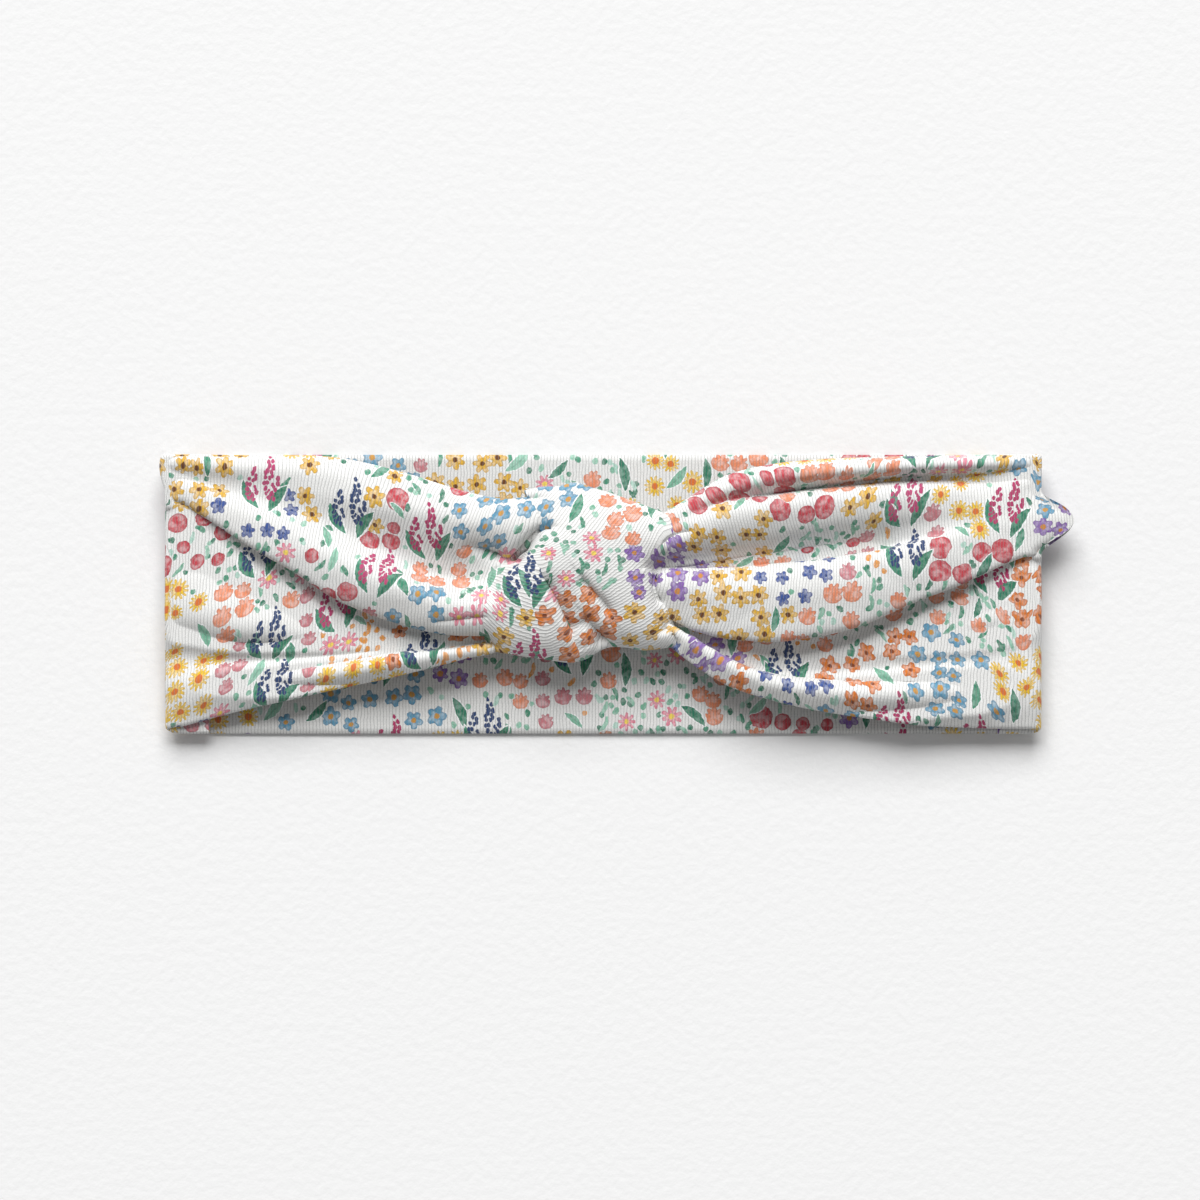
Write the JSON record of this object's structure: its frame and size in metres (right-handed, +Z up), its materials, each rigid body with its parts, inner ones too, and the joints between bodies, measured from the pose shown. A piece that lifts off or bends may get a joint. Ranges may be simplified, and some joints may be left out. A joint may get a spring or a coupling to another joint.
{
  "type": "knotted headband",
  "caption": "Stretch jersey headband laid flat: a doubled loop whose two gathered front arms meet in a soft wrapped knot.",
  "frame": {"origin": "on the table, under the centre of the object's bounding box", "axes": "+X along the band towards the side with the loose ear, +Y across the band towards its top edge, +Z up from the table, through the rear half and then the knot"},
  "size_m": [0.2524, 0.0771, 0.0226],
  "materials": {
    "print_jersey": null,
    "print_jersey_inside": "the same printed rib-knit jersey, on the side worn against the head",
    "sewing_thread": "matt white sewing thread"
  },
  "bodies": {
    "root": {"rear_outer_panel": "print_jersey", "rear_inner_panel": "print_jersey_inside", "left_arm_face_panel": "print_jersey", "left_arm_lining_panel": "print_jersey_inside", "right_arm_face_panel": "print_jersey", "right_arm_lining_panel": "print_jersey_inside", "knot_core": "print_jersey_inside", "knot_wrap": "print_jersey", "knot_tack_stitches": "sewing_thread", "rear_top_seam_thread": "sewing_thread", "rear_bottom_seam_thread": "sewing_thread", "left_arm_top_seam_thread": "sewing_thread", "left_arm_bottom_seam_thread": "sewing_thread", "right_arm_top_seam_thread": "sewing_thread", "right_arm_bottom_seam_thread": "sewing_thread", "left_side_seam_thread": "sewing_thread", "right_side_seam_thread": "sewing_thread"}
  },
  "joints": []
}
